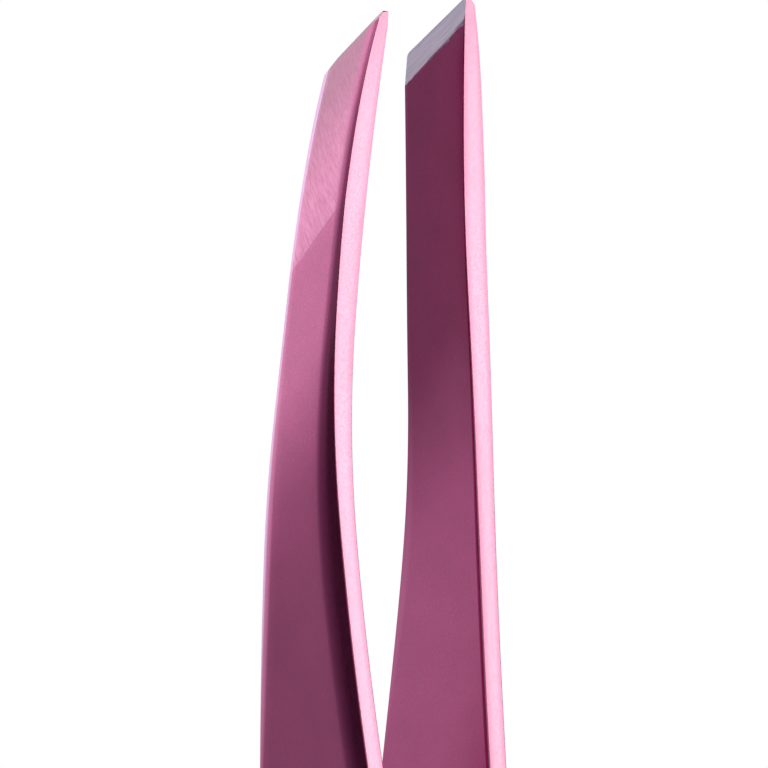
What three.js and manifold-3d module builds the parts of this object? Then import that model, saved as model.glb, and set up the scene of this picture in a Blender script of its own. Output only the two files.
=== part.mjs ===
// Slant tweezers: two mirror-image spring-steel arms, spot-welded together at the tail.
//
// Frame, in millimetres: the origin is the middle of the tail end, +Z runs up the tweezers
// to the points, X is the direction in which the arms close, and Y runs across the width of
// the arms. The slanted tips are highest on the -Y edge, the "point" edge, and lowest on
// the +Y edge, the "heel" edge.

import * as THREE from 'three';
import * as BufferGeometryUtils from 'three/addons/utils/BufferGeometryUtils.js';
import Module from 'manifold-3d';

const wasm = await Module();
wasm.setup();

// ---- Driving dimensions -------------------------------------------------------------

const LENGTH = 95; // tail end to points
const THICKNESS = 1.35; // of the enamelled strip

// Outline of one arm, seen face on: half widths, and the heights where they change.
const TAIL_END_HALF = 1.4; // the short flat of the rounded tail end
const TAIL_ROUND = 3.6; // height of the rounded tail corners
const TAIL_HALF = 4.2;
const BELT_HALF = 5.25; // the widest stretch, whose edges are straight and parallel
const BELT_LOW = 34;
const BELT_HIGH = 46;
const TIP_HALF = 1.55;
const TAPER_END = 91; // the taper from the belt has run out here
const TIP_LEAN = 1.3; // how far the point leans towards the point edge
const LEAN_START = 72.5;

// Side profile of one arm: the half gap between the inner faces, up the tweezers.
const WELD_TOP = 14; // the tails lie flat on each other up to here
const CREST = 75.6; // the gap is widest here
const CREST_HALF_GAP = 3.56;
const TIP_BEND = 6.5; // height over which the arm bends back towards its twin
const TIP_SLOPE = 0.086; // slope of the inner face above that bend
const TURN = { low: 60, high: 86 }; // over which the arm's sections turn to the slant
const TWIST = 0.5; // the heel edge runs this far ahead in the bend, for each mm across

// The ground tip.
const SLANT = THREE.MathUtils.degToRad(39.5); // of the tip edge, from straight across
const FACET = 8; // height of the ground facet on the outer face
const FACET_START = 0.35; // slope of the facet at its foot, over its mean slope
const NOSE_THICKNESS = 0.68; // at the top of the facet
const NOSE = 0.42; // height of the bevel that ends the tip
const EDGE_THICKNESS = 0.25; // what that bevel leaves, before the gripping band is ground
const GRIP_HALF_GAP = 2.285; // at the points, after the gripping bands are ground

// The outer corners are bevelled: widely over the body, and hardly at all at the tip.
const BODY_BEVEL = 0.4; // depth into the thickness
const TIP_BEVEL = 0.1;
const BEVEL_FADE = { low: 65, high: 86 };
const BEVEL_SPREAD = 1.5; // width of the bevel on the face, over its depth
const INNER_CHAMFER = 0.08;

// Each arm bends as a rigid blade about a point some way above the weld, so it is split
// there: its tail is fixed, and its blade swings. The two keep a small gap.
const HINGE_HEIGHT = 26;
const HINGE_GAP = 0.3;

// Spot welds between the tails.
const WELD_HEIGHTS = { lower: 5, upper: 10.5 };
const WELD_RADIUS = 1.4;
const WELD_DEPTH = 0.45; // of the fused metal into each tail
const WELD_GAP = 0.3;

const ROUND_RINGS = 8; // rings up the rounded tail end
const RING_STEP = 2.5; // height between the rings of the plain strip
const TIP_RING_STEP = 1; // the same, where the arm bends
const GRIP_RING_STEP = 0.4; // the same, where it is ground

// ---- Shape of one arm ----------------------------------------------------------------

// A curve that leaves one (height, value) and reaches another with no slope at either end.
// The reaches are how far each end's straightness carries along.
function easedCurve([z0, v0], [z1, v1], reachUp, reachDown) {
  return new THREE.CubicBezierCurve(
    new THREE.Vector2(z0, v0),
    new THREE.Vector2(z0 + reachUp, v0),
    new THREE.Vector2(z1 - reachDown, v1),
    new THREE.Vector2(z1, v1),
  );
}

// The value of such a curve at a height, found by halving the curve's parameter.
function valueAt(curve, z) {
  let low = 0;
  let high = 1;
  for (let step = 0; step < 30; step += 1) {
    const middle = (low + high) / 2;
    if (curve.getPoint(middle).x < z) low = middle;
    else high = middle;
  }
  return curve.getPoint(low).y;
}

const smoothstep = THREE.MathUtils.smoothstep;

const tailFlare = easedCurve([TAIL_ROUND, TAIL_HALF], [BELT_LOW, BELT_HALF], 10, 14);
const tipTaper = easedCurve([BELT_HIGH, BELT_HALF], [TAPER_END, TIP_HALF], 11, 26);
const spreadingGap = easedCurve([WELD_TOP, 0], [CREST, CREST_HALF_GAP], 12, 12.5);

function halfWidth(z) {
  if (z < TAIL_ROUND) {
    const across = 1 - z / TAIL_ROUND;
    return TAIL_END_HALF + (TAIL_HALF - TAIL_END_HALF) * Math.sqrt(1 - across * across);
  }
  if (z < BELT_LOW) return valueAt(tailFlare, z);
  if (z < BELT_HIGH) return BELT_HALF;
  if (z < TAPER_END) return valueAt(tipTaper, z);
  return TIP_HALF;
}

// How far the middle of the arm leans towards the point edge.
function lean(z) {
  const run = Math.max(0, z - LEAN_START) / (LENGTH - LEAN_START);
  return TIP_LEAN * run * run;
}

// Half the gap between the inner faces, before the gripping band is ground.
function halfGap(z) {
  if (z < WELD_TOP) return 0;
  if (z < CREST) return valueAt(spreadingGap, z);
  const bent = Math.min(z - CREST, TIP_BEND);
  const straight = Math.max(0, z - CREST - TIP_BEND);
  return CREST_HALF_GAP - TIP_SLOPE * ((bent * bent) / (2 * TIP_BEND) + straight);
}

// The plane that the gripping bands are ground to. It runs through the hinge, so the two
// bands lie flat on each other when the arms are closed.
function gripPlane(z) {
  return (GRIP_HALF_GAP * (z - HINGE_HEIGHT)) / (LENGTH - HINGE_HEIGHT);
}

// The thickness of the strip, which the facet and the end bevel grind away.
function thicknessAt(z) {
  if (z > LENGTH - NOSE) {
    return THREE.MathUtils.mapLinear(z, LENGTH - NOSE, LENGTH, NOSE_THICKNESS, EDGE_THICKNESS);
  }
  const up = Math.max(0, z - (LENGTH - FACET)) / (FACET - NOSE);
  const ground = THREE.MathUtils.lerp(up ** 3, up, FACET_START);
  return THICKNESS - (THICKNESS - NOSE_THICKNESS) * ground;
}

// How far the rings have tilted towards the slant, from 0 on the body to 1 at the tip.
function tipward(z) {
  return smoothstep(z, TURN.low, TURN.high);
}

// Where a tilted ring that leaves the point edge at a height meets the heel edge. The ring
// comes down as it goes across, so its far end is found in a few rounds.
function heelEdge(z, pointY) {
  const tilt = Math.tan(SLANT) * tipward(z);
  let y = pointY;
  for (let round = 0; round < 6; round += 1) {
    const heelZ = z - tilt * (y - pointY);
    y = halfWidth(heelZ) - lean(heelZ);
  }
  return y;
}

// How deep the bevels of the outer corners are.
function bevelDepth(z) {
  const fade = smoothstep(z, BEVEL_FADE.low, BEVEL_FADE.high);
  return THREE.MathUtils.lerp(BODY_BEVEL, TIP_BEVEL, fade);
}

// One ring of the arm: a strip section with its corners cut off. Towards the tip the rings
// tilt until they lie along the slant, so that the arm bends and ends along that line.
function ring(z, side) {
  const tilt = Math.tan(SLANT) * tipward(z);
  const pointY = -lean(z) - halfWidth(z);
  const heelY = heelEdge(z, pointY);
  const thickness = thicknessAt(z);
  const depth = Math.min(bevelDepth(z), 0.4 * thickness);
  const spread = BEVEL_SPREAD * depth;
  const corner = Math.min(INNER_CHAMFER, 0.3 * thickness);

  // A point of the section, at a depth into the strip from its inner face.
  const place = (depthIn, y) => {
    const height = z - tilt * (y - pointY);
    const inner = halfGap(z + TWIST * tipward(z) * (y - pointY));
    const x = Math.max(inner + depthIn, gripPlane(height));
    return new THREE.Vector3(side * x, y, height);
  };
  return [
    place(0, pointY + corner),
    place(corner, pointY),
    place(thickness - depth, pointY),
    place(thickness, pointY + spread),
    place(thickness, heelY - spread),
    place(thickness - depth, heelY),
    place(corner, heelY),
    place(0, heelY - corner),
  ];
}

// The heights from one end of a stretch to the other, in even steps of about the given size.
function heights(from, to, step) {
  const count = Math.max(1, Math.round((to - from) / step));
  return Array.from({ length: count + 1 }, (_, i) => from + ((to - from) * i) / count);
}

// A closed body through a row of rings, with a flat cap on each end.
function loft(rings) {
  const size = rings[0].length;
  const positions = rings.flat().flatMap((point) => [point.x, point.y, point.z]);
  const faces = [];
  for (let row = 0; row + 1 < rings.length; row += 1) {
    for (let i = 0; i < size; i += 1) {
      const a = row * size + i;
      const b = row * size + ((i + 1) % size);
      faces.push(a, b, b + size, a, b + size, a + size);
    }
  }
  const last = (rings.length - 1) * size;
  for (let i = 1; i + 1 < size; i += 1) {
    faces.push(0, i + 1, i);
    faces.push(last, last + i, last + i + 1);
  }
  const geometry = new THREE.BufferGeometry();
  geometry.setAttribute('position', new THREE.Float32BufferAttribute(positions, 3));
  geometry.setIndex(faces);
  return geometry;
}

// The strip of one arm over a row of heights. side is -1 for the left arm and 1 for the right.
function strip(zs, side) {
  const rings = zs.map((z) => ring(z, side));
  // Mirrored rings run the other way round, so they are turned back to keep faces outward.
  return loft(side < 0 ? rings.map((points) => points.reverse()) : rings);
}

function bladeHeights() {
  const start = HINGE_HEIGHT + HINGE_GAP / 2;
  const marks = new Set([
    ...heights(start, BELT_LOW, RING_STEP),
    ...heights(BELT_LOW, BELT_HIGH, BELT_HIGH - BELT_LOW),
    ...heights(BELT_HIGH, TURN.low, RING_STEP),
    ...heights(TURN.low, LENGTH - FACET, TIP_RING_STEP),
    ...heights(LENGTH - FACET, LENGTH - NOSE, GRIP_RING_STEP),
    LENGTH,
  ]);
  return [...marks];
}

function tailHeights() {
  const roundHeights = Array.from({ length: ROUND_RINGS + 1 }, (_, i) => {
    return TAIL_ROUND * (1 - Math.cos(((i / ROUND_RINGS) * Math.PI) / 2));
  });
  const end = HINGE_HEIGHT - HINGE_GAP / 2;
  const marks = new Set([
    ...roundHeights,
    ...heights(TAIL_ROUND, WELD_TOP, WELD_TOP - TAIL_ROUND),
    ...heights(WELD_TOP, end, RING_STEP),
  ]);
  return [...marks];
}

// ---- Booleans ------------------------------------------------------------------------

function solidOf(geometry) {
  const bare = geometry.clone();
  bare.deleteAttribute('normal');
  bare.deleteAttribute('uv');
  const merged = BufferGeometryUtils.mergeVertices(bare);
  const mesh = new wasm.Mesh({
    numProp: 3,
    vertProperties: new Float32Array(merged.attributes.position.array),
    triVerts: new Uint32Array(merged.index.array),
  });
  return new wasm.Manifold(mesh);
}

function geometryOf(solid) {
  const { vertProperties, triVerts } = solid.getMesh();
  const geometry = new THREE.BufferGeometry();
  geometry.setAttribute('position', new THREE.BufferAttribute(vertProperties, 3));
  geometry.setIndex(new THREE.BufferAttribute(triVerts, 1));
  return geometry;
}

// ---- Pieces --------------------------------------------------------------------------

// A round lens of fused metal across the plane where the tails meet.
function weldDisc(height, radius, depth) {
  const disc = new THREE.CylinderGeometry(radius, radius, 2 * depth, 32);
  disc.rotateZ(Math.PI / 2);
  disc.translate(0, 0, height);
  return disc;
}

// One welded tail: the fixed root of an arm, with a pocket for each weld.
function tail(side) {
  let solid = solidOf(strip(tailHeights(), side));
  for (const height of Object.values(WELD_HEIGHTS)) {
    const pocket = weldDisc(height, WELD_RADIUS + WELD_GAP, WELD_DEPTH + WELD_GAP);
    solid = solid.subtract(solidOf(pocket));
  }
  return geometryOf(solid);
}

function blade(side) {
  return strip(bladeHeights(), side);
}

const enamel = { color: 0xc0508a, roughness: 0.35, metalness: 0.75 };
const steel = { color: 0xa59db0, roughness: 0.4, metalness: 1 };

function addPiece(group, name, geometry, finish) {
  const mesh = new THREE.Mesh(geometry, new THREE.MeshStandardMaterial(finish));
  mesh.name = name;
  group.add(mesh);
}

const tweezers = new THREE.Group();
for (const [name, side] of [['left', -1], ['right', 1]]) {
  addPiece(tweezers, `${name}_tail`, tail(side), enamel);
  addPiece(tweezers, `${name}_blade`, blade(side), enamel);
}
for (const [name, height] of Object.entries(WELD_HEIGHTS)) {
  addPiece(tweezers, `${name}_spot_weld`, weldDisc(height, WELD_RADIUS, WELD_DEPTH), steel);
}

export default tweezers;
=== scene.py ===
"""Slant tweezers in pink enamelled steel: the looks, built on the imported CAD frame.

The row frame has its origin at the middle of the tail end and +Z up to the points. The
arms close along X, and Y runs across their width: the points are on the -Y edge, the
"point" edge, and the +Y edge is the "heel" edge. Sizes in the classes are in millimetres,
and the meshes are in metres.
"""

import logging
import math
from dataclasses import dataclass, field
from enum import Enum
from functools import lru_cache

import bmesh
import bpy
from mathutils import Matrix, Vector

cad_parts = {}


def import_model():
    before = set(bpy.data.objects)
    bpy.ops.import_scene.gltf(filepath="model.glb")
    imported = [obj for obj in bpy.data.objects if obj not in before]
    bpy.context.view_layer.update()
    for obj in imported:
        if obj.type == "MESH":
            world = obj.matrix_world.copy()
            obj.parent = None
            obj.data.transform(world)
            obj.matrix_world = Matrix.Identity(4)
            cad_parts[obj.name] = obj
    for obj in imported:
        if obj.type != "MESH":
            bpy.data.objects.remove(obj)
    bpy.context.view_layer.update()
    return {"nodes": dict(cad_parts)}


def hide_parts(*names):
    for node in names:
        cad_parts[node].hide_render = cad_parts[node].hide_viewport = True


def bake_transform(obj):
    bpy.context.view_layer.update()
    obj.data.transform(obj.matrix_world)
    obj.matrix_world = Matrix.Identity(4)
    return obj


MM = 0.001
CLOSE = 0.001  # how far apart two places of the blank may be and still be one, in mm
LEVEL = 1e-6  # how far apart two heights may be and still be level, in metres
HEEL_CUTS = 6  # flats that round off the heel of the slant
HALVINGS = 30  # enough to place a point on a curve to well under a micrometre
HEEL_ROUNDS = 6  # enough for the heel's place to settle
LOG = logging.getLogger("tweezers")


class Side(Enum):
    """The two arms, by the sign of X on which each one lies."""

    LEFT = -1
    RIGHT = 1

    @property
    def label(self) -> str:
        """The word that the arm's CAD nodes and body start with."""
        return self.name.lower()


BEVELLED = {Side.LEFT: 0.4, Side.RIGHT: 0.28}  # depth of each arm's outer bevels, in mm
HEEL_ROUNDED = {Side.LEFT: 0.9, Side.RIGHT: 0.45}  # radius at the slant's heel, in mm
BLUNTED = {Side.LEFT: 0.22, Side.RIGHT: 0.0}  # what wear has taken off each point, in mm


# ---- Curves that the strip follows ---------------------------------------------------


def smoothstep(value: float, low: float, high: float) -> float:
    """The eased share of the way from low to high.

    Args:
        value: where to look.
        low: where the share is 0.
        high: where the share is 1.

    Returns:
        A share from 0 to 1, with no slope at either end.
    """
    share = min(1.0, max(0.0, (value - low) / (high - low)))
    return share * share * (3 - 2 * share)


def lerp(start: float, end: float, share: float) -> float:
    """The value that is the given share of the way from start to end."""
    return start + (end - start) * share


@dataclass(frozen=True)
class Rim:
    """A strip along an edge of a length that only scales when the length changes."""

    size: float
    scale: float

    @property
    def scaled(self) -> float:
        """The strip's new size."""
        return self.size * self.scale


def stretched(place: float, length: float, new_length: float, low: Rim, high: Rim) -> float:
    """Where a place along a length goes when the length changes but its rims only scale.

    Args:
        place: from the low end.
        length: as it was.
        new_length: as it becomes.
        low: the rim at the low end.
        high: the rim at the high end.

    Returns:
        The new place, from the low end.
    """
    if place <= low.size:
        return place * low.scale
    if place >= length - high.size:
        return new_length - (length - place) * high.scale
    middle = length - low.size - high.size
    new_middle = new_length - low.scaled - high.scaled
    return low.scaled + (place - low.size) * new_middle / middle


@dataclass(frozen=True)
class EasedCurve:
    """A curve from one (height, value) to another that has no slope at either end."""

    low: tuple[float, float]
    high: tuple[float, float]
    reach_up: float
    reach_down: float

    def at(self, height: float) -> float:
        """The curve's value at a height.

        Args:
            height: millimetres up the tweezers.

        Returns:
            The value in millimetres.
        """
        heights = (
            self.low[0],
            self.low[0] + self.reach_up,
            self.high[0] - self.reach_down,
            self.high[0],
        )
        below, above = 0.0, 1.0
        for _ in range(HALVINGS):
            t = (below + above) / 2
            weights = ((1 - t) ** 3, 3 * t * (1 - t) ** 2, 3 * t * t * (1 - t), t**3)
            reached = sum(w * h for w, h in zip(weights, heights))
            below, above = (t, above) if reached < height else (below, t)
        return lerp(self.low[1], self.high[1], below * below * (3 - 2 * below))


@dataclass(frozen=True)
class ArmForm:
    """The shape that the dies press one arm to, and the wheel grinds it to.

    A rim keeps its size, or only scales, where the strip gets narrower or thinner. The
    outer bevels fade towards the tip, and their shoulders there are of different widths.
    """

    length: float = 95.0
    thickness: float = 1.35
    tail_end_half: float = 1.4
    tail_round: float = 3.6
    tail_half: float = 4.2
    belt_half: float = 5.25
    belt_low: float = 34.0
    belt_high: float = 46.0
    tip_half: float = 1.55
    taper_end: float = 91.0
    tip_lean: float = 1.3
    lean_start: float = 72.5
    weld_top: float = 14.0
    crest: float = 75.6
    crest_half_gap: float = 3.56
    tip_bend: float = 6.5
    tip_slope: float = 0.086
    turn: tuple[float, float] = (60.0, 86.0)
    twist: float = 0.5
    slant: float = math.radians(39.5)
    facet: float = 8.0
    facet_start: float = 0.35
    nose_thickness: float = 0.68
    nose: float = 0.42
    edge_thickness: float = 0.25
    grip_half_gap: float = 2.285
    hinge_height: float = 26.0
    body_bevel: float = 0.4
    tip_bevel: float = 0.1
    bevel_fade: tuple[float, float] = (70.0, 88.0)
    bevel_spread: float = 1.5
    bevel_share: float = 0.4
    inner_rim: float = 0.3
    outer_rim: float = 0.56
    side_rim: float = 1.4
    tip_inner: float = 0.3
    tip_shoulder: float = 0.5
    heel_shoulder: float = 0.65
    facet_fall: float = 0.8

    @lru_cache(maxsize=None)
    def half_width(self, z: float) -> float:
        """Half the width of the strip.

        Args:
            z: the height to look at.

        Returns:
            Half the width there, without the lean.
        """
        if z < self.tail_round:
            across = 1 - max(0.0, z) / self.tail_round
            bulge = math.sqrt(max(0.0, 1 - across * across))
            return lerp(self.tail_end_half, self.tail_half, bulge)
        if z < self.belt_low:
            flare = EasedCurve(
                (self.tail_round, self.tail_half), (self.belt_low, self.belt_half), 10, 14
            )
            return flare.at(z)
        if z < self.belt_high:
            return self.belt_half
        if z < self.taper_end:
            taper = EasedCurve(
                (self.belt_high, self.belt_half), (self.taper_end, self.tip_half), 11, 26
            )
            return taper.at(z)
        return self.tip_half

    @lru_cache(maxsize=None)
    def lean(self, z: float) -> float:
        """How far the middle of the arm leans towards the point edge."""
        run = max(0.0, z - self.lean_start) / (self.length - self.lean_start)
        return self.tip_lean * run * run

    @lru_cache(maxsize=None)
    def half_gap(self, z: float) -> float:
        """Half the gap between the arms' inner faces.

        Args:
            z: the height to look at.

        Returns:
            The distance from the middle plane to an inner face there.
        """
        if z < self.weld_top:
            return 0.0
        if z < self.crest:
            spread = EasedCurve((self.weld_top, 0), (self.crest, self.crest_half_gap), 12, 12.5)
            return spread.at(z)
        bent = min(z - self.crest, self.tip_bend)
        straight = max(0.0, z - self.crest - self.tip_bend)
        fall = bent * bent / (2 * self.tip_bend) + straight
        return self.crest_half_gap - self.tip_slope * fall

    @lru_cache(maxsize=None)
    def thickness_at(self, z: float) -> float:
        """The thickness of the strip, which the facet and the end bevel grind away.

        Args:
            z: the height to look at.

        Returns:
            What is left of the thickness there.
        """
        if z > self.length - self.nose:
            share = (z - self.length + self.nose) / self.nose
            return lerp(self.nose_thickness, self.edge_thickness, share)
        up = max(0.0, z - (self.length - self.facet)) / (self.facet - self.nose)
        ground = lerp(up**3, up, self.facet_start)
        return self.thickness - (self.thickness - self.nose_thickness) * ground

    @lru_cache(maxsize=None)
    def bevel_scale(self, z: float) -> float:
        """The depth of the outer bevels at a height, over their depth on the body."""
        depth = self.faded(self.body_bevel, self.tip_bevel, z)
        return min(depth, self.bevel_share * self.thickness_at(z)) / self.body_bevel

    def faded(self, body: float, tip: float, z: float) -> float:
        """A size that fades from the body's to the tip's."""
        return lerp(body, tip, smoothstep(z, *self.bevel_fade))

    @lru_cache(maxsize=None)
    def tilt(self, z: float) -> float:
        """How far the sections have turned to the slant, as their fall for each mm across."""
        return math.tan(self.slant) * smoothstep(z, *self.turn)

    @lru_cache(maxsize=None)
    def point_edge(self, z: float) -> float:
        """Y of the point edge."""
        return -self.lean(z) - self.half_width(z)

    @lru_cache(maxsize=None)
    def heel_edge(self, z: float) -> float:
        """Where the section that leaves the point edge at a height meets the heel edge.

        Args:
            z: the section's height at the point edge.

        Returns:
            Y of the meeting place.
        """
        point = self.point_edge(z)
        y = point
        for _ in range(HEEL_ROUNDS):
            fallen = z - self.tilt(z) * (y - point)
            y = self.half_width(fallen) - self.lean(fallen)
        return y

    def facet_shift(self, across: float, z: float) -> float:
        """How much further the facet has been ground at the heel, as a height.

        Args:
            across: from the middle of the blank, negative on the point edge.
            z: height in the blank.

        Returns:
            The height to look ahead by, from 0 at the point edge and at the nose.
        """
        top, foot = self.length - self.nose, self.length - self.facet - self.facet_fall
        left = min(1.0, max(0.0, (top - z) / (top - foot)))
        heelward = across / (2 * self.belt_half) + 0.5
        return self.facet_fall * left * heelward

    def press(self, depth: float, across: float, z: float) -> Vector:
        """Where a point of the flat blank ends up in the finished right arm.

        Args:
            depth: of the point from the blank's inner face, as far as its thickness.
            across: from the middle of the blank, negative on the point edge.
            z: height of the point in the blank.

        Returns:
            The pressed place, in millimetres in the row frame.
        """
        point, heel = self.point_edge(z), self.heel_edge(z)
        thickness = self.thickness_at(z + self.facet_shift(across, z))
        inner = Rim(self.inner_rim, self.faded(1.0, self.tip_inner, z))
        outer = Rim(self.outer_rim, self.bevel_scale(z))
        inward = stretched(depth, self.thickness, thickness, inner, outer)
        shoulder = self.tip_shoulder if across < 0 else self.heel_shoulder
        tip_rim = shoulder if depth > self.thickness / 2 else self.tip_inner
        side = Rim(self.side_rim, self.faded(1.0, tip_rim, z))
        half, reach = self.belt_half, (heel - point) / 2
        out = stretched(abs(across), half, reach, Rim(0.0, 1.0), side)
        y = (point + heel) / 2 + math.copysign(out, across)
        height = z - self.tilt(z) * (y - point)
        turned = smoothstep(z, *self.turn)
        x = self.half_gap(z + self.twist * turned * (y - point)) + inward
        return Vector((x, y, height))


# ---- Finishes ------------------------------------------------------------------------


@dataclass
class NodeSheet:
    """A small hand for laying out the nodes of one material, or of the surroundings."""

    owner: bpy.types.Material | bpy.types.World

    @property
    def tree(self) -> bpy.types.NodeTree:
        """The owner's node tree."""
        return self.owner.node_tree

    def add(self, kind: str, **settings: object) -> bpy.types.Node:
        """Adds a node.

        Args:
            kind: the node's type, without the ShaderNode at its start.
            settings: attributes of the node to set.

        Returns:
            The new node.
        """
        node = self.tree.nodes.new(f"ShaderNode{kind}")
        for name, value in settings.items():
            setattr(node, name, value)
        return node

    def join(self, source: bpy.types.NodeSocket, target: bpy.types.NodeSocket) -> None:
        """Links an output to an input."""
        self.tree.links.new(source, target)

    def feed(self, socket: bpy.types.NodeSocket, value: object) -> None:
        """Links or sets an input, whichever the value is.

        Args:
            socket: the input.
            value: an output socket, or a plain value.
        """
        if isinstance(value, bpy.types.NodeSocket):
            self.join(value, socket)
        else:
            socket.default_value = value

    def math(self, operation: str, first: object, second: object = 0.0) -> bpy.types.NodeSocket:
        """Works out one sum.

        Args:
            operation: the Math node's operation.
            first: its first value, a number or a socket.
            second: its second value, a number or a socket.

        Returns:
            The result's socket.
        """
        node = self.add("Math", operation=operation)
        self.feed(node.inputs[0], first)
        self.feed(node.inputs[1], second)
        return node.outputs[0]

    def ramp(self, value: object, start: float, end: float) -> bpy.types.NodeSocket:
        """An eased share from 0 where value is start to 1 where it is end.

        Args:
            value: the socket to read.
            start: its value for 0.
            end: its value for 1.

        Returns:
            The share's socket.
        """
        node = self.add("MapRange", interpolation_type="SMOOTHSTEP")
        self.feed(node.inputs["Value"], value)
        node.inputs["From Min"].default_value = min(start, end)
        node.inputs["From Max"].default_value = max(start, end)
        node.inputs["To Min"].default_value = 0.0 if start < end else 1.0
        node.inputs["To Max"].default_value = 1.0 if start < end else 0.0
        return node.outputs["Result"]

    def mix(self, share: object, first: object, second: object) -> bpy.types.NodeSocket:
        """Mixes two colours.

        Args:
            share: how much of the second, as a number or a socket.
            first: the colour at 0.
            second: the colour at 1.

        Returns:
            The mixed colour's socket.
        """
        node = self.add("MixRGB")
        self.feed(node.inputs["Fac"], share)
        self.feed(node.inputs["Color1"], first)
        self.feed(node.inputs["Color2"], second)
        return node.outputs["Color"]

    def blend(self, share: object, first: object, second: object) -> bpy.types.NodeSocket:
        """Mixes two numbers.

        Args:
            share: how much of the second, as a number or a socket.
            first: the number at 0.
            second: the number at 1.

        Returns:
            The mixed number's socket.
        """
        node = self.add("Mix", data_type="FLOAT")
        self.feed(node.inputs["Factor"], share)
        self.feed(node.inputs["A"], first)
        self.feed(node.inputs["B"], second)
        return node.outputs["Result"]

    def noise(
        self, vector: object, scale: float, detail: float = 2.0, rough: float = 0.5
    ) -> bpy.types.NodeSocket:
        """A noise pattern from 0 to 1.

        Args:
            vector: the coordinates that it lies on.
            scale: how many cells it has in a metre.
            detail: how many finer layers it has.
            rough: how strong the finer layers are.

        Returns:
            The pattern's socket.
        """
        node = self.add("TexNoise")
        self.feed(node.inputs["Vector"], vector)
        node.inputs["Scale"].default_value = scale
        node.inputs["Detail"].default_value = detail
        node.inputs["Roughness"].default_value = rough
        return node.outputs["Fac"]


def new_material(name: str) -> tuple[NodeSheet, bpy.types.Node]:
    """Starts a material with a Principled shader.

    Args:
        name: of the material.

    Returns:
        The hand for its nodes, and the shader node.
    """
    material = bpy.data.materials.new(name)
    material.use_nodes = True
    shader = material.node_tree.nodes["Principled BSDF"]
    return NodeSheet(material), shader


Colour = tuple[float, float, float, float]
Socket = bpy.types.NodeSocket


@dataclass(frozen=True)
class StripPattern:
    """What the enamel's nodes read on the strip.

    The depth, the place across and the height are those in the flat blank, in millimetres,
    and climbed is the height that the facet's slanted foot has at the point edge. From outer
    to bare they are masks, 1 on their part of the strip and 0 off it.
    """

    place: Socket
    depth: Socket
    across: Socket
    height: Socket
    climbed: Socket
    outer: Socket
    facet: Socket
    inside: Socket
    flank: Socket
    bare: Socket
    grain: Socket
    lines: Socket
    scratches: Socket


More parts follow.
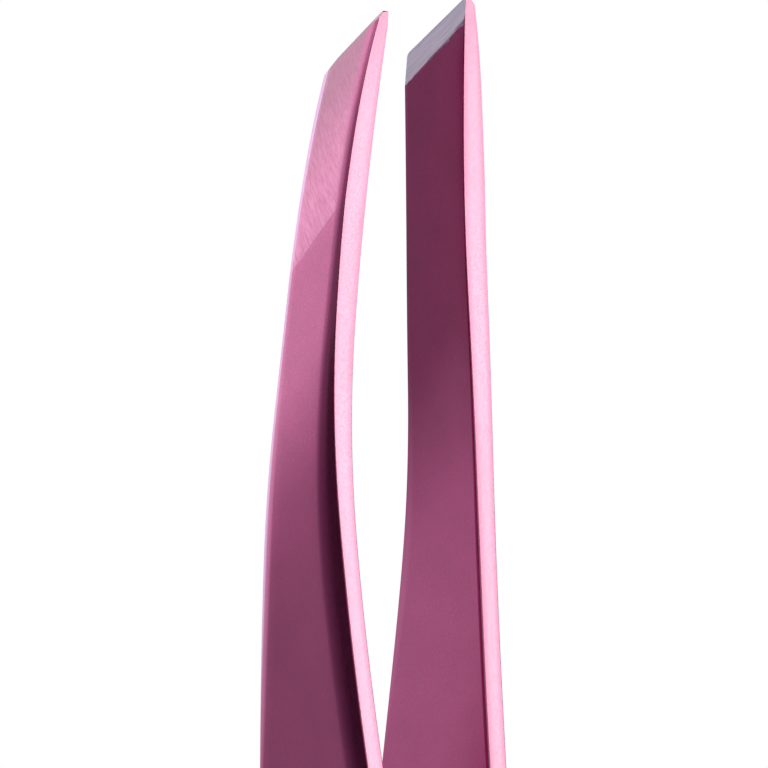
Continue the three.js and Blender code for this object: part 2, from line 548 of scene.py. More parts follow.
@dataclass(frozen=True)
class EnamelledSteel:
    """Pink metallic enamel baked on brushed steel, with a bare gripping band, and painted
    highlights and shade.

    It reads these attributes of the mesh: "blank", each point's place in the flat blank;
    "beyond", how far it was beyond the wheel's plane when the gripping band was ground;
    "inside" and "flank", the faces that look at the other arm and those of the cut edges.
    Scales are in cells to the metre, and blurs, fades and reaches in millimetres.
    """

    name: str = "pink_enamelled_steel"
    enamel: Colour = (0.76, 0.10, 0.37, 1.0)
    enamel_deep: Colour = (0.68, 0.085, 0.33, 1.0)
    facet_enamel: Colour = (0.86, 0.26, 0.51, 1.0)
    # painted shade that darkens the facet towards the point
    facet_painted_shade: Colour = (0.36, 0.07, 0.18, 1.0)
    # painted highlight: the cut edges' lighter pink stands in for the light that they catch
    flank_painted_highlight: Colour = (0.86, 0.27, 0.42, 1.0)
    # painted shade on the cut edges, along their borders and towards the tip
    flank_painted_shade: Colour = (0.60, 0.11, 0.27, 1.0)
    # painted highlight along the heel edge of the inner face
    heel_painted_highlight: Colour = (0.80, 0.15, 0.44, 1.0)
    # painted rim light: a lavender strip on the outer bevel of the heel edge
    painted_rim_light: Colour = (0.84, 0.42, 0.74, 1.0)
    steel: Colour = (0.86, 0.75, 0.98, 1.0)
    filed_steel: Colour = (0.72, 0.65, 0.80, 1.0)
    metallic: float = 1.0
    coat: float = 1.0
    coat_ior: float = 1.9
    coat_roughness: float = 0.2
    cloud_scale: float = 320.0
    ragged_scale: float = 1600.0
    peel_scale: float = 2600.0
    grain_scale: float = 9000.0
    flake_scale: float = 26000.0
    line_scales: tuple[float, float] = (7000.0, 19000.0)
    line_stretch: float = 0.04
    fleck_share: float = 0.35
    grain_share: float = 0.4
    line_share: float = 0.6
    face_blur: float = 0.05
    facet_blur: float = 0.1
    shoulder_fade: tuple[float, float] = (0.1, 0.8)
    ragged: float = 0.06
    point_wear: float = 0.024
    worn_edge: tuple[float, float] = (-0.034, -0.024)
    # the facet's painted shade: where it starts and ends below the top, and how strong it gets
    facet_shade: tuple[float, float, float] = (6.5, 0.5, 0.8)
    # where the painted shade lies on the cut edges: by their inner and outer borders, and over
    # the last millimetres of the tip
    inner_border_shade: tuple[float, float] = (0.45, 0.05)
    outer_border_shade: tuple[float, float] = (0.25, 0.1)
    tip_painted_shade: tuple[float, float] = (5.0, 0.6)
    # depth and reach of the painted highlight along the heel edge of the inner face
    heel_highlight_depth: tuple[float, float] = (0.3, 0.2)
    heel_highlight_reach: tuple[float, float] = (0.9, 0.65)
    # how softly the painted rim light starts
    rim_light_blur: float = 0.06
    satin_roughness: tuple[float, float] = (0.36, 0.46)
    ground_roughness: tuple[float, float] = (0.30, 0.44)
    bare_roughness: float = 0.42
    peel_share: float = 0.35
    peel_relief: float = 0.000004
    brush_relief: float = 0.000008
    filing_relief: float = 0.00001
    form: ArmForm = field(default_factory=ArmForm)

    @property
    def bevel_reach(self) -> float:
        """How far the outer bevels reach across the strip."""
        return self.form.bevel_spread * self.form.body_bevel

    @property
    def face_depth(self) -> float:
        """The depth at which the outer bevels begin."""
        return self.form.thickness - self.form.body_bevel

    def brushed(self, sheet: NodeSheet, place: object, angle: float) -> bpy.types.NodeSocket:
        """Fine lines ground along one direction of the YZ plane.

        Args:
            sheet: the material's nodes.
            place: object coordinates.
            angle: by which the lines lean from +Z towards +Y.

        Returns:
            A pattern from 0 to 1.
        """
        turn = sheet.add("Mapping")
        sheet.feed(turn.inputs["Vector"], place)
        turn.inputs["Rotation"].default_value = (angle, 0.0, 0.0)
        stretch = sheet.add("Mapping")
        sheet.feed(stretch.inputs["Vector"], turn.outputs["Vector"])
        stretch.inputs["Scale"].default_value = (1.0, 1.0, self.line_stretch)
        coarse = sheet.noise(stretch.outputs["Vector"], self.line_scales[0], 3.0, 0.6)
        fine = sheet.noise(stretch.outputs["Vector"], self.line_scales[1], 2.0, 0.6)
        return sheet.blend(0.4, coarse, fine)

    def read(self, sheet: NodeSheet) -> StripPattern:
        """Lays out the coordinates, the masks and the textures.

        Args:
            sheet: the material's nodes.

        Returns:
            Their sockets.
        """
        form = self.form
        place = sheet.add("TexCoord").outputs["Object"]
        blank = sheet.add("Attribute", attribute_name="blank")
        split = sheet.add("SeparateXYZ")
        sheet.join(blank.outputs["Vector"], split.inputs["Vector"])
        depth, across, height = split.outputs
        inside = sheet.add("Attribute", attribute_name="inside").outputs["Fac"]
        flank = sheet.add("Attribute", attribute_name="flank").outputs["Fac"]

        heelward = sheet.math("MULTIPLY_ADD", across, 0.5 / form.belt_half)
        heelward.node.inputs[2].default_value = 0.5
        climbed = sheet.math("ADD", height, sheet.math("MULTIPLY", heelward, form.facet_fall))
        outer = sheet.ramp(
            depth, self.face_depth - self.face_blur, self.face_depth + self.face_blur
        )
        foot = form.length - form.facet
        shoulder = self.bevel_reach - form.belt_half
        before, after = self.shoulder_fade
        ground = sheet.math("MULTIPLY", outer, sheet.ramp(climbed, foot, foot + self.facet_blur))
        flat = sheet.ramp(across, shoulder - before, shoulder + after)
        return StripPattern(
            place=place,
            depth=depth,
            across=across,
            height=height,
            climbed=climbed,
            outer=outer,
            facet=sheet.math("MULTIPLY", ground, flat),
            inside=inside,
            flank=flank,
            bare=self.bared(sheet, place, depth, heelward, inside),
            grain=sheet.noise(place, self.grain_scale, 2.0, 0.6),
            lines=self.brushed(sheet, place, form.slant),
            scratches=self.brushed(sheet, place, form.slant - math.pi / 2),
        )

    def bared(
        self, sheet: NodeSheet, place: Socket, depth: Socket, heelward: Socket, inside: Socket
    ) -> Socket:
        """Where grinding has bared the steel, down to a ragged edge of the enamel.

        Args:
            sheet: the material's nodes.
            place: object coordinates.
            depth: each point's depth in the blank.
            heelward: 0 on the point edge and 1 on the heel edge.
            inside: 1 on the faces that look at the other arm.

        Returns:
            The mask.
        """
        beyond = sheet.add("Attribute", attribute_name="beyond").outputs["Fac"]
        ground_off = sheet.math("ADD", depth, beyond)
        pointward = sheet.math("SUBTRACT", 1.0, heelward)
        extra = sheet.math("MULTIPLY", pointward, self.point_wear)
        noise = sheet.noise(place, self.ragged_scale, 3.0, 0.7)
        ragged = sheet.math("MULTIPLY", noise, self.ragged)
        worn = sheet.math("SUBTRACT", sheet.math("ADD", ground_off, extra), ragged)
        return sheet.math("MULTIPLY", inside, sheet.ramp(worn, *self.worn_edge))

    def satin(self, sheet: NodeSheet, strip: StripPattern) -> Socket:
        """The enamel on the strip's faces: fine flakes, slow clouding and a dusty grain.

        Args:
            sheet: the material's nodes.
            strip: the sockets that it reads.

        Returns:
            The colour.
        """
        clouds = sheet.noise(strip.place, self.cloud_scale, 3.0, 0.55)
        flakes = sheet.noise(strip.place, self.flake_scale, 1.0, 0.5)
        flecks = sheet.math("MULTIPLY", sheet.ramp(flakes, 0.5, 0.75), self.fleck_share)
        grains = sheet.math("MULTIPLY", sheet.ramp(strip.grain, 0.35, 0.75), self.grain_share)
        body = sheet.mix(sheet.ramp(clouds, 0.35, 0.7), self.enamel, self.enamel_deep)
        return sheet.mix(grains, sheet.mix(flecks, body, self.facet_enamel), self.enamel_deep)

    def ground_facet(self, sheet: NodeSheet, strip: StripPattern) -> Socket:
        """The enamel over the facet's brushed lines, with painted shade that darkens it towards
        the point.

        Args:
            sheet: the material's nodes.
            strip: the sockets that it reads.

        Returns:
            The colour.
        """
        top = self.form.length
        start, end, most = self.facet_shade
        # painted shade, darker towards the point
        shade = sheet.math("MULTIPLY", sheet.ramp(strip.climbed, top - start, top - end), most)
        lined = sheet.mix(sheet.ramp(strip.lines, 0.35, 0.65), self.facet_enamel, self.enamel)
        facet = sheet.mix(self.line_share, self.facet_enamel, lined)
        return sheet.mix(shade, facet, self.facet_painted_shade)

    def cut_edge_painted_light(self, sheet: NodeSheet, strip: StripPattern) -> Socket:
        """The cut edges' enamel, lighter as a painted highlight, with painted shade along their
        borders and at the tip.

        Args:
            sheet: the material's nodes.
            strip: the sockets that it reads.

        Returns:
            The colour.
        """
        top = self.form.length
        before, after = self.outer_border_shade
        inner = sheet.ramp(strip.depth, *self.inner_border_shade)
        outer = sheet.ramp(strip.depth, self.face_depth - before, self.face_depth + after)
        length, most = self.tip_painted_shade
        tip = sheet.math("MULTIPLY", sheet.ramp(strip.height, top - length, top), most)
        # painted shade, along the borders and towards the tip
        edge_shade = sheet.math("MAXIMUM", sheet.math("MAXIMUM", inner, outer), tip)
        return sheet.mix(edge_shade, self.flank_painted_highlight, self.flank_painted_shade)

    def colour(self, sheet: NodeSheet, strip: StripPattern) -> Socket:
        """The colour of the whole strip, with its painted highlights, rim light and shade.

        Args:
            sheet: the material's nodes.
            strip: the sockets that it reads.

        Returns:
            The colour.
        """
        half = self.form.belt_half
        # painted highlight: lighter along the heel edge of the inner face and its corner
        start, end = self.heel_highlight_reach
        inner = sheet.ramp(strip.depth, *self.heel_highlight_depth)
        heel_highlight = sheet.math("MULTIPLY", inner, sheet.ramp(strip.across, half - start, half - end))
        # painted rim light along the heel edge's outer bevel
        bevel = half - self.bevel_reach
        rim = sheet.ramp(strip.across, bevel - self.rim_light_blur, bevel + self.rim_light_blur)
        faces = sheet.mix(strip.facet, self.satin(sheet, strip), self.ground_facet(sheet, strip))
        # the cut edges get a painted highlight, with painted shade at their borders and tip
        enamel = sheet.mix(strip.flank, faces, self.cut_edge_painted_light(sheet, strip))
        enamel = sheet.mix(heel_highlight, enamel, self.heel_painted_highlight)
        enamel = sheet.mix(sheet.math("MULTIPLY", strip.outer, rim), enamel, self.painted_rim_light)
        filed = sheet.mix(sheet.ramp(strip.scratches, 0.3, 0.7), self.steel, self.filed_steel)
        return sheet.mix(strip.bare, enamel, filed)

    def roughness(self, sheet: NodeSheet, strip: StripPattern) -> Socket:
        """Satin on the strip, and smoother where the facet was ground.

        Args:
            sheet: the material's nodes.
            strip: the sockets that it reads.

        Returns:
            The roughness.
        """
        satin = sheet.blend(sheet.ramp(strip.grain, 0.3, 0.7), *self.satin_roughness)
        ground = sheet.blend(sheet.ramp(strip.lines, 0.3, 0.7), *self.ground_roughness)
        enamel = sheet.blend(strip.facet, satin, ground)
        return sheet.blend(strip.bare, enamel, self.bare_roughness)

    def relief(self, sheet: NodeSheet, strip: StripPattern) -> Socket:
        """Orange peel, the brushed lines under the enamel, and the file's marks.

        Args:
            sheet: the material's nodes.
            strip: the sockets that it reads.

        Returns:
            The surface's normal.
        """
        peel = sheet.noise(strip.place, self.peel_scale, 2.0, 0.5)
        layers = (
            (self.peel_relief, 1.0, sheet.blend(self.peel_share, peel, strip.grain)),
            (self.brush_relief, strip.facet, strip.lines),
            (self.filing_relief, strip.bare, strip.scratches),
        )
        below = None
        for distance, strength, height in layers:
            bump = sheet.add("Bump")
            bump.inputs["Distance"].default_value = distance
            sheet.feed(bump.inputs["Strength"], strength)
            sheet.join(height, bump.inputs["Height"])
            if below is not None:
                sheet.join(below, bump.inputs["Normal"])
            below = bump.outputs["Normal"]
        return below

    def make(self) -> bpy.types.Material:
        """Builds the material.

        Returns:
            The finished material.
        """
        sheet, shader = new_material(self.name)
        strip = self.read(sheet)
        sheet.join(self.colour(sheet, strip), shader.inputs["Base Color"])
        sheet.join(self.roughness(sheet, strip), shader.inputs["Roughness"])
        sheet.join(self.relief(sheet, strip), shader.inputs["Normal"])
        shader.inputs["Metallic"].default_value = self.metallic
        shader.inputs["Coat Weight"].default_value = self.coat
        shader.inputs["Coat Roughness"].default_value = self.coat_roughness
        shader.inputs["Coat IOR"].default_value = self.coat_ior
        return sheet.owner


@dataclass(frozen=True)
class FusedSteel:
    """The heat-tinted steel of a spot weld."""

    name: str = "fused_steel"
    bright: Colour = (0.55, 0.52, 0.50, 1.0)
    tinted: Colour = (0.42, 0.33, 0.28, 1.0)
    tint_scale: float = 900.0
    pit_scale: float = 6000.0
    pit_relief: float = 0.00002
    rough: tuple[float, float] = (0.3, 0.55)

    def make(self) -> bpy.types.Material:
        """Builds the material.

        Returns:
            The finished material.
        """
        sheet, shader = new_material(self.name)
        place = sheet.add("TexCoord").outputs["Object"]
        tint = sheet.noise(place, self.tint_scale, 3.0, 0.6)
        pits = sheet.noise(place, self.pit_scale, 2.0, 0.6)
        colour = sheet.mix(sheet.ramp(tint, 0.4, 0.65), self.bright, self.tinted)
        sheet.join(colour, shader.inputs["Base Color"])
        sheet.join(sheet.blend(pits, *self.rough), shader.inputs["Roughness"])
        bump = sheet.add("Bump")
        bump.inputs["Distance"].default_value = self.pit_relief
        sheet.join(pits, bump.inputs["Height"])
        sheet.join(bump.outputs["Normal"], shader.inputs["Normal"])
        shader.inputs["Metallic"].default_value = 1.0
        return sheet.owner


@dataclass(frozen=True)
class PalePaper:
    """The pale ground that the tweezers stand on."""

    name: str = "pale_ground"
    pale: Colour = (0.86, 0.86, 0.87, 1.0)
    shade: Colour = (0.80, 0.80, 0.82, 1.0)
    mottle_scale: float = 60.0
    rough: float = 0.8

    def make(self) -> bpy.types.Material:
        """Builds the material.

        Returns:
            The finished material.
        """
        sheet, shader = new_material(self.name)
        place = sheet.add("TexCoord").outputs["Object"]
        mottle = sheet.noise(place, self.mottle_scale, 3.0, 0.5)
        sheet.join(sheet.mix(mottle, self.pale, self.shade), shader.inputs["Base Color"])
        shader.inputs["Roughness"].default_value = self.rough
        return sheet.owner


# ---- Pieces --------------------------------------------------------------------------


@dataclass
class Arm:
    """One spring arm: a stamped blank with bevelled edges, pressed and ground to shape.

    The steps are the spacings of the rings of edges, and the columns those across the
    strip. The creases are the angles from which an edge stays sharp, and squarely is how
    nearly a face has to look one way to count as facing it.
    """

    side: Side
    form: ArmForm = field(default_factory=ArmForm)
    inner_break: tuple[float, float] = (0.05, 0.1)
    inner_round: float = 0.07
    face_round: float = 0.4
    side_round: float = 0.05
    corner_round: float = 0.08
    heel_round: float = 0.45
    blunting: float = 0.0
    columns: int = 20
    dimple_step: float = 0.3
    plain_step: float = 1.25
    bend_step: float = 0.5
    tip_step: float = 0.2
    round_steps: int = 16
    weld_heights: tuple[float, float] = (5.0, 10.5)
    dimple_radius: float = 1.5
    dimple_depth: float = 0.06
    dimple_flat: float = 0.4
    bend_from: float = 14.0
    bend_to: float = 38.0
    long_crease: float = math.radians(15)
    cross_crease: float = math.radians(20)
    squarely: float = 0.8

    @property
    def name(self) -> str:
        """The piece's name."""
        return f"{self.side.label}_arm_strip"

    def cuts(self) -> list[float]:
        """Heights at which the blank gets a ring of edges, from the tail up."""
        form = self.form
        top = form.length
        rounding = [
            form.tail_round * (1 - math.cos(math.pi / 2 * i / self.round_steps))
            for i in range(1, self.round_steps)
        ]
        stretches = (
            (form.tail_round, form.weld_top, self.dimple_step),
            (form.weld_top, form.turn[0], self.plain_step),
            (form.turn[0], top - form.facet, self.bend_step),
            (top - form.facet, top - form.nose, self.tip_step),
        )
        heights = rounding
        for low, high, step in stretches:
            count = round((high - low) / step)
            heights += [lerp(low, high, i / count) for i in range(count)]
        return [*heights, top - form.nose]

    def blank(self) -> bmesh.types.BMesh:
        """The flat blank, in millimetres: X through the strip, Y across it, Z along it.

        Returns:
            The blank, with its long edges bevelled and its rings of edges cut.
        """
        form = self.form
        half = form.belt_half
        bm = bmesh.new()
        bmesh.ops.create_cube(bm, size=1.0)
        bmesh.ops.scale(bm, vec=(form.thickness, 2 * half, form.length), verts=bm.verts)
        bmesh.ops.translate(
            bm, vec=(form.thickness / 2, 0.0, form.length / 2), verts=bm.verts
        )
        outer = (form.body_bevel, form.body_bevel * form.bevel_spread)
        self.bevel_corners(bm, form.thickness, *outer)
        self.bevel_corners(bm, 0.0, *self.inner_break)
        self.round_corners(bm)
        bm.normal_update()
        for edge in bm.edges:
            edge.smooth = edge.calc_face_angle(0.0) < self.long_crease
        for z in self.cuts():
            bmesh.ops.bisect_plane(
                bm,
                geom=[*bm.verts, *bm.edges, *bm.faces],
                plane_co=(0, 0, z),
                plane_no=(0, 0, 1),
            )
        plain = half - form.side_rim
        for i in range(self.columns + 1):
            y = lerp(-plain, plain, i / self.columns)
            bmesh.ops.bisect_plane(
                bm,
                geom=[*bm.verts, *bm.edges, *bm.faces],
                plane_co=(0, y, 0),
                plane_no=(0, 1, 0),
            )
        return bm

    def long_edges(self, bm: bmesh.types.BMesh, depth: float, across: float) -> list:
        """The edges along the blank at one corner of its section, and their twins.

        Args:
            bm: the blank.
            depth: X of the corner.
            across: Y of the corner, on either side.

        Returns:
            The edges.
        """

        def lies(edge: bmesh.types.BMEdge) -> bool:
            """Tells whether an edge runs along the blank at that corner.

            Args:
                edge: the edge to test.

            Returns:
                True if it does.
            """
            first, second = (v.co for v in edge.verts)
            along = abs(first.z - second.z) > self.form.length / 2
            level = abs(first.x - depth) < CLOSE and abs(second.x - depth) < CLOSE
            return along and level and abs(abs(first.y) - across) < CLOSE

        return [edge for edge in bm.edges if lies(edge)]

    def bevel_corners(
        self, bm: bmesh.types.BMesh, face: float, depth: float, spread: float
    ) -> None:
        """Cuts a flat bevel along both corners of one face of the blank.

        Args:
            bm: the blank.
            face: X of the face.
            depth: how deep the bevels go into the thickness.
            spread: how far they reach across the face.
        """
        bmesh.ops.bevel(
            bm,
            geom=self.long_edges(bm, face, self.form.belt_half),
            offset=depth,
            offset_type="OFFSET",
            segments=1,
            profile=0.5,
            affect="EDGES",
            material=-1,
        )
        for vert in bm.verts:
            if abs(vert.co.x - face) < CLOSE:
                vert.co.y -= math.copysign(spread - depth, vert.co.y)

    def round_corners(self, bm: bmesh.types.BMesh) -> None:
        """Softens every long corner of the bevelled blank.

        Args:
            bm: the blank.
        """
        form = self.form
        half = form.belt_half
        inner_depth, inner_spread = self.inner_break
        corners = (  # depth, place across, how far back the rounding starts, segments
            (form.thickness, half - form.bevel_spread * form.body_bevel, self.face_round, 8),
            (form.thickness - form.body_bevel, half, self.side_round, 2),
            (0.0, half - inner_spread, self.inner_round, 5),
            (inner_depth, half, self.corner_round, 6),
        )
        for depth, across, offset, segments in corners:
            bmesh.ops.bevel(
                bm,
                geom=self.long_edges(bm, depth, across),
                offset=offset,
                offset_type="OFFSET",
                segments=segments,
                profile=0.5,
                affect="EDGES",
                material=-1,
            )

    def press(self, bm: bmesh.types.BMesh) -> None:
        """Presses the blank to the arm's shape, and keeps where each point was in it.

        Args:
            bm: the blank.
        """
        kept = bm.verts.layers.float_vector.new("blank")
        for vert in bm.verts:
            vert[kept] = depth, across, z = vert.co
            vert.co = self.form.press(depth, across, z)
            if depth > self.form.thickness - CLOSE:
                vert.co.x -= self.dimple(across, z)

    def dimple(self, across: float, z: float) -> float:
        """How deep the welder's electrodes have sunk into the outer face.

        Args:
            across: from the middle of the blank.
            z: height in the blank.

        Returns:
            The depth of the mark there.
        """
        off = min(math.hypot(across, z - height) for height in self.weld_heights)
        reach = self.dimple_radius
        return self.dimple_depth * (1 - smoothstep(off, self.dimple_flat * reach, reach))

    def cross_edges(self, bm: bmesh.types.BMesh) -> list:
        """The edges that ran straight across the blank.

        Args:
            bm: the pressed arm.

        Returns:
            The edges.
        """
        kept = bm.verts.layers.float_vector["blank"]
        return [
            edge
            for edge in bm.edges
            if abs(edge.verts[0][kept].z - edge.verts[1][kept].z) < CLOSE
        ]

    def grind(self, bm: bmesh.types.BMesh, place: Vector, outward: Vector) -> None:
        """Takes off everything beyond a plane, and closes the cut.

        Args:
            bm: the pressed arm.
            place: a point of the plane.
            outward: the direction in which material is taken off.
        """
        cut = bmesh.ops.bisect_plane(
            bm,
            geom=[*bm.verts, *bm.edges, *bm.faces],
            plane_co=place,
            plane_no=outward,
            clear_outer=True,
        )
        rim = [e for e in cut["geom_cut"] if isinstance(e, bmesh.types.BMEdge)]
        if rim:
            bmesh.ops.edgeloop_fill(bm, edges=rim)
        bm.normal_update()
        for edge in rim:
            edge.smooth = edge.calc_face_angle(0.0) < self.cross_crease

    def grind_tip(self, bm: bmesh.types.BMesh) -> None:
        """Grinds the gripping band, rounds the heel of the slant and blunts the point.

        Each point keeps how far it was beyond the wheel's plane before the band was ground.

        Args:
            bm: the pressed arm.
        """
        form = self.form
        beyond = bm.verts.layers.float.new("beyond")
        rise = Vector((form.grip_half_gap, 0.0, form.length - form.hinge_height)).normalized()
        outward = Vector((-rise.z, 0.0, rise.x))
        hinge = Vector((0.0, 0.0, form.hinge_height))
        for vert in bm.verts:
            vert[beyond] = (vert.co - hinge).dot(outward)
        self.grind(bm, hinge, outward)
        heel = form.heel_edge(form.length)
        fallen = form.length - math.tan(form.slant) * (heel - form.point_edge(form.length))
        sunk = (1 - math.sin(form.slant)) / math.cos(form.slant)
        centre = Vector((0.0, heel - self.heel_round, fallen - sunk * self.heel_round))
        for i in range(HEEL_CUTS):
            turn = (i + 0.5) / HEEL_CUTS * (math.pi / 2 - form.slant)
            outward = Vector((0.0, math.cos(turn), math.sin(turn)))
            self.grind(bm, centre + outward * self.heel_round, outward)
        if self.blunting:
            top = Vector((0.0, 0.0, form.length - self.blunting))
            self.grind(bm, top, Vector((0.0, 0.0, 1.0)))

    def build(self) -> bpy.types.Object:
        """Makes the arm's mesh and object.

        Returns:
            The arm, at its place in the row frame.
        """
        bm = self.blank()
        self.press(bm)
        self.grind_tip(bm)
        bmesh.ops.scale(bm, vec=(MM * self.side.value, MM, MM), verts=bm.verts)
        bmesh.ops.recalc_face_normals(bm, faces=bm.faces)
        self.mark_faces(bm)
        for face in bm.faces:
            face.smooth = True
        for edge in self.cross_edges(bm):
            edge.smooth = edge.calc_face_angle(0.0) < self.cross_crease
        mesh = bpy.data.meshes.new(self.name)
        bm.to_mesh(mesh)
        bm.free()
        strip = bpy.data.objects.new(self.name, mesh)
        bpy.context.scene.collection.objects.link(strip)
        even = strip.modifiers.new("even_shading", "WEIGHTED_NORMAL")
        even.keep_sharp = True
        return strip

    def mark_faces(self, bm: bmesh.types.BMesh) -> None:
        """Marks the faces that look at the other arm, and those of the cut edges.

        Args:
            bm: the arm, at its final size.
        """
        inside = bm.faces.layers.float.new("inside")
        flank = bm.faces.layers.float.new("flank")
        for face in bm.faces:
            towards = -face.normal.x * self.side.value
            face[inside] = float(towards > self.squarely)
            face[flank] = float(abs(face.normal.y) > self.squarely)

    def dress(self, strip: bpy.types.Object, finish: bpy.types.Material) -> None:
        """Gives the arm its finish, and hides the frame's tail and blade on its side.

        Args:
            strip: the arm.
            finish: its material.
        """
        strip.data.materials.append(finish)
        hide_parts(f"{self.side.label}_tail", f"{self.side.label}_blade")
        f"{self.side.label}_arm"
        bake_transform(strip)


@dataclass
class SpotWelds:
    """The two spot welds between the tails, as the CAD made them."""

    nodes: tuple[str, str] = ("lower_spot_weld", "upper_spot_weld")

    def dress(self, shown: dict[str, bpy.types.Object], finish: bpy.types.Material) -> None:
        """Gives each weld its finish.

        Args:
            shown: the frame's nodes.
            finish: the welds' material.
        """
        for name in self.nodes:
            weld = shown[name]
            weld.data.materials.clear()
            weld.data.materials.append(finish)


# ---- Studio --------------------------------------------------------------------------


@dataclass(frozen=True)
class Glow:
    """A soft light so far away that only its direction matters.

    The azimuth is the compass angle from +X towards +Y. The glow is even within its core,
    and has faded out at its rim.
    """

    name: str
    azimuth: float
    elevation: float
    core: float
    rim: float
    strength: float
    colour: tuple[float, float, float] = (1.0, 1.0, 1.0)

    def direction(self) -> Vector:
        """The unit vector towards the glow."""
        turn, rise = math.radians(self.azimuth), math.radians(self.elevation)
        level = math.cos(rise)
        return Vector((math.cos(turn) * level, math.sin(turn) * level, math.sin(rise)))

    def shine(self, sheet: NodeSheet, towards: object) -> bpy.types.NodeSocket:
        """Adds the glow's nodes to the surroundings.

        Args:
            sheet: the surroundings' nodes.
            towards: the socket with the direction that is looked in.

        Returns:
            The glow's colour in that direction.
        """
        facing = sheet.add("VectorMath", operation="DOT_PRODUCT", label=self.name)
        sheet.feed(facing.inputs[0], towards)
        facing.inputs[1].default_value = self.direction()
        share = sheet.ramp(
            facing.outputs["Value"],
            math.cos(math.radians(self.rim)),
            math.cos(math.radians(self.core)),
        )
        tint = sheet.add("VectorMath", operation="SCALE")
        tint.inputs[0].default_value = self.colour
        sheet.feed(tint.inputs["Scale"], sheet.math("MULTIPLY", share, self.strength))
        return tint.outputs["Vector"]


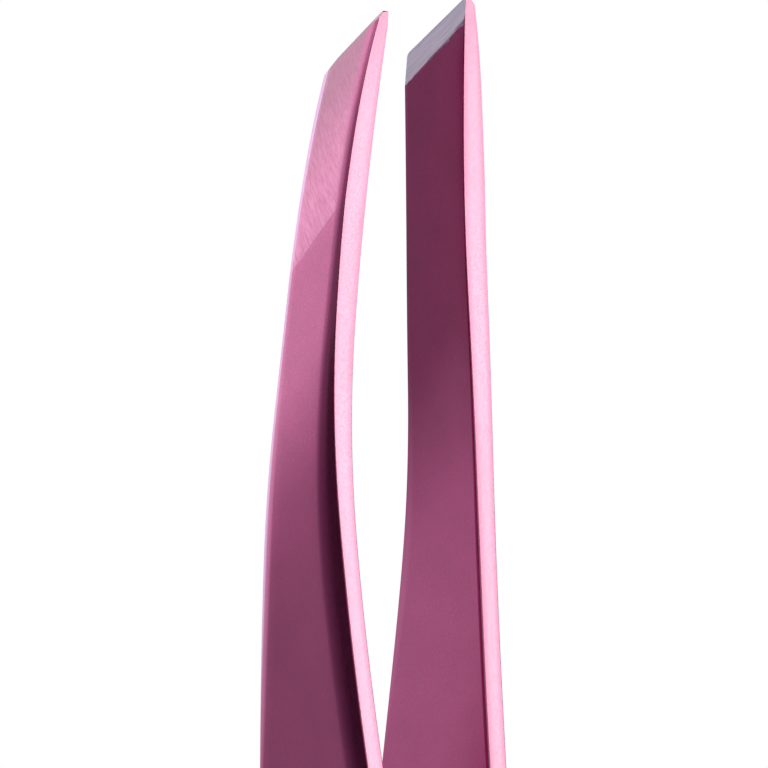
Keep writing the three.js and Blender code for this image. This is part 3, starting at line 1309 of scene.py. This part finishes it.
@dataclass
class Studio:
    """The plain floor, the soft lights and the camera."""

    aim: tuple[float, float, float] = (0.000141, -0.000141, 0.0786)
    azimuth: float = 45.0
    elevation: float = 10.0
    distance: float = 0.45
    sensor: float = 36.0
    seen: float = 0.032
    floor_radius: float = 0.2
    floor_depth: float = 0.004
    floor_sides: int = 128
    floor_rounding: float = 0.001
    near: float = 0.01
    gloom: tuple[float, float, float] = (0.010, 0.005, 0.008)
    glows: tuple[Glow, ...] = (
        Glow("left_back_low", 110.0, 0.0, 4.0, 26.0, 0.42),
        Glow("left_back_high", 110.0, 15.0, 4.0, 26.0, 0.66),
        Glow("left_back_foot", 110.0, -15.0, 4.0, 24.0, 0.33),
        Glow("left_low", 135.0, 0.0, 4.0, 24.0, 0.24),
        Glow("left_high", 135.0, 15.0, 4.0, 24.0, 0.55),
        Glow("left_under", 150.0, -30.0, 4.0, 28.0, 0.1),
        Glow("left_side", 170.0, 8.0, 3.0, 18.0, 0.3),
        Glow("right_low", -40.0, -26.0, 4.0, 24.0, 1.2),
        Glow("right", -40.0, -9.0, 4.0, 24.0, 1.6),
        Glow("right_high", -40.0, 8.0, 4.0, 24.0, 1.5),
        Glow("right_side", -18.0, 0.0, 4.0, 24.0, 0.15),
        Glow("behind", 76.0, 0.0, 12.0, 30.0, 1.0, (0.92, 0.92, 1.0)),
        Glow("front", 268.0, 0.0, 6.0, 26.0, 0.6),
        Glow("far_side", 6.0, 5.0, 8.0, 34.0, 0.6),
        Glow("overhead", 0.0, 90.0, 20.0, 50.0, 2.6),
    )

    def lay_floor(self) -> None:
        """Lays a round pale floor with a softened rim, which no reflection shows."""
        bm = bmesh.new()
        bmesh.ops.create_circle(
            bm, cap_ends=True, segments=self.floor_sides, radius=self.floor_radius
        )
        grown = bmesh.ops.extrude_face_region(bm, geom=list(bm.faces))
        lowered = [v for v in grown["geom"] if isinstance(v, bmesh.types.BMVert)]
        bmesh.ops.translate(bm, vec=(0, 0, -self.floor_depth), verts=lowered)
        bmesh.ops.recalc_face_normals(bm, faces=bm.faces)
        rims = [e for e in bm.edges if abs(e.verts[0].co.z - e.verts[1].co.z) < LEVEL]
        bmesh.ops.bevel(
            bm,
            geom=rims,
            offset=self.floor_rounding,
            offset_type="OFFSET",
            segments=3,
            profile=0.5,
            affect="EDGES",
            material=-1,
        )
        mesh = bpy.data.meshes.new("floor")
        bm.to_mesh(mesh)
        bm.free()
        floor = bpy.data.objects.new("floor", mesh)
        floor.data.materials.append(PalePaper().make())
        floor.visible_glossy = False
        bpy.context.scene.collection.objects.link(floor)

    def surround(self) -> None:
        """White where the camera looks past the tweezers, and the glows in reflections."""
        world = bpy.data.worlds.new("studio")
        bpy.context.scene.world = world
        world.use_nodes = True
        world.node_tree.nodes.clear()
        sheet = NodeSheet(world)
        towards = sheet.add("TexCoord").outputs["Generated"]
        light = self.gloom
        for glow in self.glows:
            total = sheet.add("VectorMath", operation="ADD")
            sheet.feed(total.inputs[0], light)
            sheet.feed(total.inputs[1], glow.shine(sheet, towards))
            light = total.outputs["Vector"]
        lit = sheet.add("Background")
        sheet.feed(lit.inputs["Color"], light)
        white = sheet.add("Background")
        white.inputs["Color"].default_value = (1.0, 1.0, 1.0, 1.0)
        chosen = sheet.add("MixShader")
        sheet.feed(chosen.inputs[0], sheet.add("LightPath").outputs["Is Camera Ray"])
        sheet.feed(chosen.inputs[1], lit.outputs[0])
        sheet.feed(chosen.inputs[2], white.outputs[0])
        out = sheet.add("OutputWorld")
        sheet.join(chosen.outputs[0], out.inputs["Surface"])
        bpy.context.scene.view_settings.view_transform = "Standard"

    def shoot(self) -> None:
        """Sets up the camera on the points, from their point edge and a little above."""
        camera = bpy.data.cameras.new("camera")
        camera.sensor_width = self.sensor
        camera.lens = self.sensor * self.distance / self.seen
        camera.clip_start = self.near
        turn, rise = math.radians(self.azimuth), math.radians(self.elevation)
        back = Vector(
            (-math.cos(turn) * math.cos(rise), -math.sin(turn) * math.cos(rise), math.sin(rise))
        )
        holder = bpy.data.objects.new("camera", camera)
        holder.location = Vector(self.aim) + back * self.distance
        holder.rotation_mode = "QUATERNION"
        holder.rotation_quaternion = back.to_track_quat("Z", "Y")
        bpy.context.scene.collection.objects.link(holder)
        bpy.context.scene.camera = holder


def main() -> None:
    """Builds the tweezers and the studio around the frame."""
    logging.basicConfig(level=logging.INFO, format="%(name)s: %(message)s")
    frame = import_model()
    enamel = EnamelledSteel().make()
    for side in Side:
        arm = Arm(
            side,
            form=ArmForm(body_bevel=BEVELLED[side]),
            heel_round=HEEL_ROUNDED[side],
            blunting=BLUNTED[side],
        )
        strip = arm.build()
        arm.dress(strip, enamel)
        LOG.info("%s: %d faces", strip.name, len(strip.data.polygons))
    SpotWelds().dress(frame["nodes"], FusedSteel().make())
    studio = Studio()
    studio.lay_floor()
    studio.surround()
    studio.shoot()


if __name__ == "__main__":
    main()
